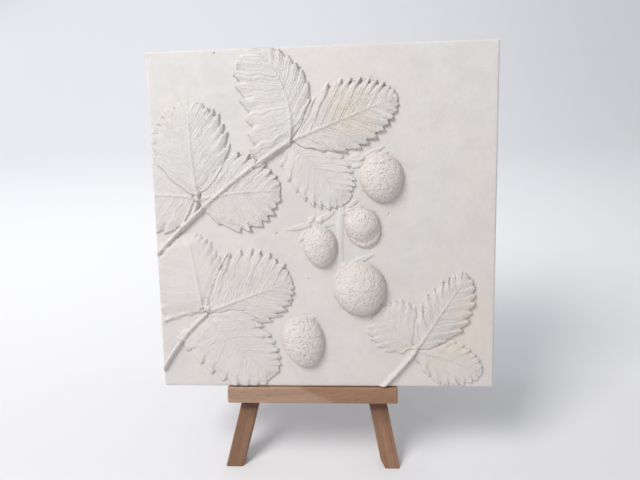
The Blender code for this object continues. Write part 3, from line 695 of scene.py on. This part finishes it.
def hollows(places, ends):
    """How far each point lies below its surroundings, in mm"""
    count = np.maximum(np.bincount(ends.ravel(), minlength=len(places)), 1)
    around = places[:, 2].copy()
    for _ in range(HOLLOW_ROUNDS):
        total = np.bincount(ends[:, 0], around[ends[:, 1]], len(places))
        total += np.bincount(ends[:, 1], around[ends[:, 0]], len(places))
        around = total / count
    return around - places[:, 2]


def tint(x, y):
    """How the plaster's colour drifts over the face, from -1, cool, to 1, warm; the warm patches towards the
    lower right also darken it there as painted shade
    """
    drift = ripples(x, y, WIDE_DRIFT) + ripples(x, y, SMALL_DRIFT)
    for centre_x, centre_y, size, strength in TINT_AND_SHADE_PATCHES:
        away = np.hypot(x - centre_x, y - centre_y) / size
        drift = drift + strength * np.exp(-2 * away ** 2)
    return np.clip(drift, -1, 1)


tile_mesh = bpy.data.meshes.new("fine_tile")
tile_bm.to_mesh(tile_mesh)
places = np.array([vert.co for vert in tile_bm.verts])
ends = np.array([[vert.index for vert in edge.verts] for edge in tile_bm.edges])
tile_bm.free()
on_front = places[:, 2] > -EDGE_ROUND / 2
marks = {
    "leaf": leaf_cover(places[:, 0], places[:, 1]) * on_front,
    "vein": vein_count(places[:, 0], places[:, 1]),
    "berry": berry_cover(places[:, 0], places[:, 1]) * on_front,
    "hollow": np.clip(hollows(places, ends) * on_front, -1, 1),
    "tint": tint(places[:, 0], places[:, 1]),
}
for name, values in marks.items():
    mark = tile_mesh.attributes.new(name, "FLOAT", "POINT")
    mark.data.foreach_set("value", np.asarray(values, np.float32))
tile_mesh.transform(to_room)
tile = bpy.data.objects.new("fine_tile", tile_mesh)
bpy.context.scene.collection.objects.link(tile)
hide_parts("plaster_tile")
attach(tile, "easel_and_tile")
print("The tile has", len(tile_mesh.polygons), "triangles")


# %% [markdown]
# ## Writing shaders as sums
# A shader's maths reads best as a formula. `Signal` wraps a socket, and adding, multiplying or subtracting
# signals adds the Math nodes for it. `Finish` starts a material and adds any other node: its type, then its
# settings, then what its sockets get.

# %% Signals and finishes
class Signal:
    """A socket whose arithmetic adds Math nodes"""

    def __init__(self, finish, socket):
        self.finish, self.socket = finish, socket

    def math(self, operation, *values):
        return self.finish.node("ShaderNodeMath", {"operation": operation}, *values)

    def __add__(self, other):
        return self.math("ADD", self, other)

    def __radd__(self, other):
        return self.math("ADD", other, self)

    def __sub__(self, other):
        return self.math("SUBTRACT", self, other)

    def __rsub__(self, other):
        return self.math("SUBTRACT", other, self)

    def __mul__(self, other):
        return self.math("MULTIPLY", self, other)

    def __rmul__(self, other):
        return self.math("MULTIPLY", other, self)

    def line(self, count, width):
        """1 on lines, so many to each unit of the signal, and 0 between them"""
        return 1 - self.math("PINGPONG", self * count, 0.5).between(0, width)

    def between(self, low, high):
        """0 below low, 1 above high and a smooth step between them"""
        return self.finish.node("ShaderNodeMapRange", {"interpolation_type": "SMOOTHSTEP"},
                                Value=self, **{"From Min": low, "From Max": high})


class Finish:
    """A material, and one method that adds any node to it"""

    def __init__(self, name, roughness, metallic=0.0):
        self.material = bpy.data.materials.new(name)
        self.material.use_nodes = True
        self.tree = self.material.node_tree
        self.shader = self.tree.nodes["Principled BSDF"]
        self.shader.inputs["Roughness"].default_value = roughness
        self.shader.inputs["Metallic"].default_value = metallic
        self.place = self.node("ShaderNodeTexCoord", {}, output="Object")

    def feed(self, socket, value):
        """Link a signal to a socket, or set a plain value on it"""
        if isinstance(value, Signal):
            self.tree.links.new(value.socket, socket)
        else:
            socket.default_value = value

    def node(self, kind, settings, *values, output=0, **named):
        """Add a node with its settings, give its sockets values or signals, and return its output"""
        made = self.tree.nodes.new(kind)
        for key, value in settings.items():
            setattr(made, key, value)
        for key, value in [*enumerate(values), *named.items()]:
            self.feed(made.inputs[key], value)
        return Signal(self, made.outputs[output])

    def mark(self, name):
        """The number that the mesh stores under a name"""
        return self.node("ShaderNodeAttribute", {"attribute_name": name}, output="Fac")

    def moved(self, place, **how):
        """A place after it is moved, turned or stretched"""
        return self.node("ShaderNodeMapping", {"vector_type": "POINT"}, Vector=place, **how)

    def noise(self, size, place=None, detail=2.0, roughness=0.5):
        """A noise between 0 and 1, whose waves are size metres long"""
        return self.node("ShaderNodeTexNoise", {}, Vector=place or self.place, Scale=1 / size, Detail=detail,
                         Roughness=roughness)

    def mix(self, factor, one, other):
        """A colour between two colours"""
        mixer = self.tree.nodes.new("ShaderNodeMix")
        mixer.data_type = "RGBA"
        for key, value in (("Factor_Float", factor), ("A_Color", one), ("B_Color", other)):
            self.feed(next(item for item in mixer.inputs if item.identifier == key), value)
        return Signal(self, next(item for item in mixer.outputs if item.identifier == "Result_Color"))

    def give(self, socket, signal):
        """Let a signal drive a socket of the shader"""
        self.feed(self.shader.inputs[socket], signal)

    def bump(self, height, distance):
        """Light the surface as if it rose by height times distance metres"""
        self.give("Normal", self.node("ShaderNodeBump", {}, Height=height, Distance=distance, Strength=1.0))


# %% [markdown]
# ## Plaster
# Cast plaster is matt, a warm off-white that drifts a little towards pink, cream and grey over a hand's
# width, and it keeps every grain of the clay. Its colour is therefore nearly flat, but for painted light
# and shade: the berries are painted lighter for the light they catch, the hollows darker for the shade in
# them, and the darker warm cream towards the lower right also stands for the light falling off there. Its
# finest look is in the bump: a fine grain all over, fine pleats, threads and crackle on the blades, and pits
# and a rough skin on the berries.

# %% The plaster
GREENISH = (0.67, 0.665, 0.64, 1)
PINKISH = (0.68, 0.64, 0.615, 1)
CREAM = (0.69, 0.61, 0.53, 1)
CLOUD = (0.62, 0.595, 0.575, 1)
SMUDGE = (0.59, 0.565, 0.55, 1)
# Painted light for the berries
BERRY_PAINTED_LIGHT = (0.77, 0.70, 0.655, 1)
# Painted shade for the hollows
PAINTED_HOLLOW_SHADE = (0.43, 0.38, 0.34, 1)
CLOUD_SIZE, CLOUD_STRENGTH = 0.018, 0.7
SMUDGE_SIZE, SMUDGE_STRENGTH = 0.006, 0.4
BERRY_LIGHT_STRENGTH = 0.7
HOLLOW_SHADE_STRENGTH = 0.14
PLEATS_TO_A_VEIN, PLEAT_BREAKS, PLEAT_HEIGHT = 4.2, 100, 0.85
THREADS_TO_A_VEIN, THREAD_WIDTH, THREAD_BREAKS, THREAD_HEIGHT = 3, 0.3, 0.007, 0.06
CRACKLE_CELLS, CRACKLE_WIDTH, CRACKLE_HEIGHT = 480.0, 0.12, 0.08
LUMP_SIZE, LUMP_HEIGHT = 0.0025, 0.4
GRAIN_SIZE, GRAIN_HEIGHT = 0.0007, 0.12
SOFT_GRAIN_SIZE, SOFT_GRAIN_HEIGHT = 0.004, 0.22
PIT_CELLS, PIT_HEIGHT = 620.0, 0.42
SKIN_GRAIN_SIZE, SKIN_GRAIN_HEIGHT = 0.001, 0.7

plaster = Finish("plaster", roughness=0.82)
leaf, berry, hollow, drift, vein = map(plaster.mark, ("leaf", "berry", "hollow", "tint", "vein"))
colour = plaster.mix(drift.between(-1, 0.25), GREENISH, PINKISH)
# The warm cream is darker than the rest; towards the lower right it is also painted shade for the light
# falling off
colour = plaster.mix(drift.between(0, 1), colour, CREAM)
cloud = plaster.noise(CLOUD_SIZE, detail=4.0, roughness=0.6).between(0.4, 0.7)
colour = plaster.mix(cloud * CLOUD_STRENGTH, colour, CLOUD)
smudge = plaster.noise(SMUDGE_SIZE, detail=3.0).between(0.55, 0.75)
colour = plaster.mix(smudge * SMUDGE_STRENGTH, colour, SMUDGE)
# Painted light: the berries are painted lighter than the rest of the plaster, for the light they catch
colour = plaster.mix(berry * BERRY_LIGHT_STRENGTH, colour, BERRY_PAINTED_LIGHT)
# Painted shade: the hollows are painted darker, where shade falls in them
colour = plaster.mix(hollow.between(0.4, 1.0) * HOLLOW_SHADE_STRENGTH, colour, PAINTED_HOLLOW_SHADE)
plaster.give("Base Color", colour)

crackle = plaster.node("ShaderNodeTexVoronoi", {"feature": "DISTANCE_TO_EDGE"}, Vector=plaster.place,
                       Scale=CRACKLE_CELLS)
broken = plaster.noise(THREAD_BREAKS).between(0.35, 0.6)
height_on_tile = plaster.node("ShaderNodeSeparateXYZ", {}, plaster.place, output=2)
with_the_veins = plaster.node("ShaderNodeCombineXYZ", {}, vein * PLEATS_TO_A_VEIN,
                              height_on_tile * PLEAT_BREAKS, 0.0)
pleats = plaster.noise(1, with_the_veins, detail=3.0, roughness=0.6)
lumps = plaster.noise(LUMP_SIZE, detail=3.0)
threads = vein.line(THREADS_TO_A_VEIN, THREAD_WIDTH) * broken
blade = (pleats * PLEAT_HEIGHT + threads * THREAD_HEIGHT
         + (1 - crackle.between(0, CRACKLE_WIDTH)) * CRACKLE_HEIGHT + lumps * LUMP_HEIGHT)
grain = (plaster.noise(GRAIN_SIZE, detail=3.0, roughness=0.6) * GRAIN_HEIGHT
         + plaster.noise(SOFT_GRAIN_SIZE) * SOFT_GRAIN_HEIGHT)
pits = plaster.node("ShaderNodeTexVoronoi", {"feature": "F1"}, Vector=plaster.place, Scale=PIT_CELLS)
rough = (pits.between(0.08, 0.5) * PIT_HEIGHT
         + plaster.noise(SKIN_GRAIN_SIZE, detail=4.0, roughness=0.7) * SKIN_GRAIN_HEIGHT)
plaster.bump(grain + leaf * blade + berry * rough, MM)
tile_mesh.materials.append(plaster.material)
print("Plaster with", len(plaster.tree.nodes), "nodes")

# %% [markdown]
# ## Beech
# Beech is a pinkish brown wood with a fine straight grain, and its sign is a scatter of short dark flecks
# that run with the grain. Stretching a noise along the grain gives both, so each leg needs its own turn of
# the pattern: one function makes a beech finish for a grain direction. The ledge also has a slanting border
# between pale and dark wood, and the front of the legs is painted darker in the corner under the ledge, as
# painted shade from the ledge above.

# %% Beech along a direction
DARK_BEECH = (0.30, 0.15, 0.08)
LIGHT_BEECH = (0.45, 0.25, 0.145)
FLECK = (0.16, 0.075, 0.04, 1)
# Painted shade on the leg fronts just under the ledge
PAINTED_SHADE_UNDER_LEDGE = (0.10, 0.02, 0.01, 1)
PALE_SIDE = (0.41, 0.315, 0.245, 1)
DARK_SIDE = (0.25, 0.14, 0.087, 1)
BAND_WIDTH, BAND_LENGTH = 0.004, 0.12
FIBRE_WIDTH, FIBRE_LENGTH = 0.0006, 0.02
FLECK_WIDTH, FLECK_LENGTH = 0.0005, 0.004
FIBRE_STRENGTH, FLECK_STRENGTH, UNDER_LEDGE_STRENGTH = 0.5, 0.5, 0.75
PALE_STRENGTH, DARK_STRENGTH = 0.4, 0.5
BORDER_SLANT = 2.3
BORDER_AT_TOP = -0.0156
BORDER_BEFORE, BORDER_AFTER = 0.002, 0.006
BORDER_WANDER = 0.004
# Where the painted shade under the ledge starts, is full and ends, in metres
UNDER_LEDGE_STARTS, UNDER_LEDGE_FULL, UNDER_LEDGE_ABOVE = 0.0135, 0.01, 0.004
FRONT_STARTS, FRONT_FULL = 0.002, 0.001
GRAIN_DEPTH = 0.00015


def beech_finish(name, direction, shift, shade, border=None, corner=None):
    """Oiled beech of a shade, whose grain runs along a direction of the room.

    border is where a slanting border between pale and dark wood crosses the board, and corner is the height
    and the depth of a front that is painted darker under the ledge, as painted shade from the ledge above
    it.
    """
    beech = Finish(name, roughness=0.5)
    turn = Vector(direction).rotation_difference(Vector((1, 0, 0))).to_euler()
    along = beech.moved(beech.place, Rotation=turn, Location=shift)

    def stretched(width, length, detail=2.0):
        return beech.noise(width, beech.moved(along, Scale=(width / length, 1, 1)), detail)

    bands = stretched(BAND_WIDTH, BAND_LENGTH, 3.0)
    fibres = stretched(FIBRE_WIDTH, FIBRE_LENGTH)
    flecks = stretched(FLECK_WIDTH, FLECK_LENGTH).between(0.6, 0.7)
    dark, light = (tuple(value * shade for value in tone) + (1,) for tone in (DARK_BEECH, LIGHT_BEECH))
    colour = beech.mix(bands.between(0.3, 0.7), dark, light)
    colour = beech.mix(fibres.between(0.35, 0.75) * FIBRE_STRENGTH, colour, light)
    x, y, z = (beech.node("ShaderNodeSeparateXYZ", {}, beech.place, output=number) for number in range(3))
    if border is not None:
        past = x + z * BORDER_SLANT + bands * BORDER_WANDER
        past = past.between(border - BORDER_BEFORE, border + BORDER_AFTER)
        pale = beech.mix(PALE_STRENGTH, colour, PALE_SIDE)
        colour = beech.mix(past, pale, beech.mix(DARK_STRENGTH, colour, DARK_SIDE))
    colour = beech.mix(flecks * FLECK_STRENGTH, colour, FLECK)
    # Painted shade: the front of a leg is painted darker just under the ledge, where the ledge's shadow
    # falls
    if corner is not None:
        height, depth = corner
        on_front = (y * OUT.y + z * OUT.z).between(depth - FRONT_STARTS, depth - FRONT_FULL)
        shaded_under_ledge = (z.between(height - UNDER_LEDGE_STARTS, height - UNDER_LEDGE_FULL)
                   * (1 - z.between(height, height + UNDER_LEDGE_ABOVE)))
        colour = beech.mix(shaded_under_ledge * on_front * UNDER_LEDGE_STRENGTH, colour, PAINTED_SHADE_UNDER_LEDGE)
    beech.give("Base Color", colour)
    beech.give("Roughness", 0.42 + fibres * 0.2)
    beech.bump(fibres * 0.5 - flecks * 0.5, GRAIN_DEPTH)
    return beech.material


def leg_direction(splay):
    """The way a front leg runs, splayed in the leaning frame"""
    return ACROSS * math.sin(splay) + UP_FACE * math.cos(splay)


# %% Beech on each board
LEFT_SPLAY = math.radians(15.2)
RIGHT_SPLAY = math.radians(10.5)
REAR_SLANT = math.radians(13)
SHIFT_BETWEEN_BOARDS = (0.1, 0.03)

# The way the grain of each board runs, and its shade
BOARDS = {
    "ledge": (Vector((1, 0, 0.06)), 0.96),
    "front_leg_left": (leg_direction(LEFT_SPLAY), 0.66),
    "front_leg_right": (leg_direction(-RIGHT_SPLAY), 0.76),
    "head_block": (ACROSS, 0.9),
    "rear_leg": (Vector((0, -math.sin(REAR_SLANT), math.cos(REAR_SLANT))), 0.85),
}
ledge_heights = [vert.co.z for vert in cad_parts["ledge"].data.vertices]
for number, (node, (direction, shade)) in enumerate(BOARDS.items()):
    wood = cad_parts[node].data
    wood.materials.clear()
    border = BORDER_AT_TOP + BORDER_SLANT * max(ledge_heights) if node == "ledge" else None
    front_depth = max(OUT.dot(vert.co) for vert in wood.vertices)
    corner = (min(ledge_heights), front_depth) if node.startswith("front_leg") else None
    shift = (SHIFT_BETWEEN_BOARDS[0] * number, SHIFT_BETWEEN_BOARDS[1] * number, 0)
    wood.materials.append(beech_finish("beech_" + node, direction, shift, shade, border, corner))
print("Beech on", ", ".join(BOARDS))

# %% [markdown]
# ## The hinge pin
# A short piece of drawn steel wire. Fine scratches run along it and break its gloss.

# %% The steel
DULL_STEEL = (0.50, 0.49, 0.47, 1)
BRIGHT_STEEL = (0.62, 0.61, 0.60, 1)
SCRATCH_WIDTH = 0.0002
SCRATCH_SQUEEZE = 0.05

steel = Finish("steel", roughness=0.35, metallic=1.0)
scratches = steel.noise(SCRATCH_WIDTH, steel.moved(steel.place, Scale=(SCRATCH_SQUEEZE, 1, 1)))
steel.give("Base Color", steel.mix(scratches, DULL_STEEL, BRIGHT_STEEL))
steel.give("Roughness", 0.28 + scratches * 0.2)
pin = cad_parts["hinge_pin"].data
pin.materials.clear()
pin.materials.append(steel.material)
print("Steel on the hinge pin")

# %% [markdown]
# ## The table and the light
# The photograph was taken on white paper that curves up behind, in the light of a window on the left. A
# sheet that is bent once has no horizon line. The window is a small soft lamp, near and high on the left,
# which draws the relief. A wide one lights the rise of the paper, which is as bright in the photograph as
# the table, a third shines across behind the tile, and the pale room fills the shadows. Their places and
# strengths were fitted to the photograph.

# %% The paper
SHEET_FRONT = -1.2
SHEET_BACK = 0.9
SHEET_RISE = 1.6
SHEET_HALF_WIDTH = 2.2
BEND_RADIUS = 1.2
BEND_STEPS = 24
PAPER_WHITE = (0.80, 0.80, 0.81, 1)

sheet_bm = bmesh.new()
ends_of_front = [sheet_bm.verts.new((side * SHEET_HALF_WIDTH, SHEET_FRONT, 0)) for side in (-1, 1)]
line = [sheet_bm.edges.new(ends_of_front)]


def pull(edges, way):
    """Extrude a line of edges by a way and return the new line"""
    made = bmesh.ops.extrude_edge_only(sheet_bm, edges=edges)["geom"]
    verts = [item for item in made if isinstance(item, bmesh.types.BMVert)]
    bmesh.ops.translate(sheet_bm, verts=verts, vec=way)
    return [item for item in made if isinstance(item, bmesh.types.BMEdge) and set(item.verts) == set(verts)]


line = pull(line, (0, SHEET_BACK - SHEET_FRONT, 0))
bent = bmesh.ops.spin(sheet_bm, geom=line + [vert for edge in line for vert in edge.verts],
                      cent=(0, SHEET_BACK, BEND_RADIUS), axis=(1, 0, 0), angle=math.radians(90),
                      steps=BEND_STEPS)["geom_last"]
pull([item for item in bent if isinstance(item, bmesh.types.BMEdge)], (0, 0, SHEET_RISE))
for face in sheet_bm.faces:
    face.smooth = True
bmesh.ops.recalc_face_normals(sheet_bm, faces=sheet_bm.faces)
sheet_mesh = bpy.data.meshes.new("paper")
sheet_bm.to_mesh(sheet_mesh)
sheet_bm.free()
sheet = bpy.data.objects.new("paper", sheet_mesh)
bpy.context.scene.collection.objects.link(sheet)
paper = Finish("paper", roughness=0.9)
paper.give("Base Color", PAPER_WHITE)
sheet_mesh.materials.append(paper.material)
print("The paper reaches from", SHEET_FRONT, "to", SHEET_BACK + BEND_RADIUS, "m")

# %% The light
# Place, the point it faces, width, height, watts and colour of each lamp
LAMPS = {
    "window": ((-0.45, -0.5, 0.92), (0, 0, 0.12), 0.4, 0.4, 7.8, (1.0, 0.98, 0.96)),
    "wall_lamp": ((-0.4, -0.05, 1.1), (-0.4, 2.1, 1.1), 1.6, 0.8, 15.8, (0.97, 0.98, 1.0)),
    "side_window": ((-1.5, 0.9, 0.8), (0, 0.9, 0.8), 1.6, 1.2, 4.4, (0.97, 0.98, 1.0)),
}
ROOM_COLOUR = (0.93, 0.95, 1.0, 1)
ROOM_STRENGTH = 0.5


def add_lamp(name, place, aim, width, height, watts, colour):
    """A soft rectangular lamp at a place, turned towards a point"""
    data = bpy.data.lights.new(name, "AREA")
    data.shape = "RECTANGLE"
    data.size, data.size_y = width, height
    data.energy, data.color = watts, colour
    lamp = bpy.data.objects.new(name, data)
    lamp.location = place
    lamp.rotation_euler = (Vector(aim) - Vector(place)).to_track_quat("-Z", "Y").to_euler()
    bpy.context.scene.collection.objects.link(lamp)


for name, values in LAMPS.items():
    add_lamp(name, *values)
world = bpy.data.worlds.new("room")
world.use_nodes = True
world.node_tree.nodes["Background"].inputs["Color"].default_value = ROOM_COLOUR
world.node_tree.nodes["Background"].inputs["Strength"].default_value = ROOM_STRENGTH
bpy.context.scene.world = world
bpy.context.scene.view_settings.view_transform = "Standard"
print("Lamps in a pale room:", ", ".join(LAMPS))

# %% [markdown]
# ## The camera
# The photograph was taken close up with a phone, from a little above and right of the tile's middle. The
# place is given from the middle of the face, and the three turns are how far the view turns left, looks
# down and rolls.

# %% The camera
CAMERA_RIGHT = 0.0168
CAMERA_UP_FACE = 0.0248
CAMERA_OUT = 0.2911
VIEW_TURN = math.radians(3.86)
VIEW_DOWN = math.radians(21.8)
VIEW_ROLL = math.radians(-2.23)
LENS = 28.125

camera_data = bpy.data.cameras.new("camera")
camera_data.lens = LENS
camera = bpy.data.objects.new("camera", camera_data)
camera.location = face_middle + ACROSS * CAMERA_RIGHT + UP_FACE * CAMERA_UP_FACE + OUT * CAMERA_OUT
turns = (Matrix.Rotation(VIEW_TURN, 4, "Z") @ Matrix.Rotation(math.pi / 2 - VIEW_DOWN, 4, "X")
         @ Matrix.Rotation(VIEW_ROLL, 4, "Z"))
camera.rotation_euler = turns.to_euler()
bpy.context.scene.collection.objects.link(camera)
bpy.context.scene.camera = camera
print("The camera stands at", [round(value, 3) for value in camera.location])
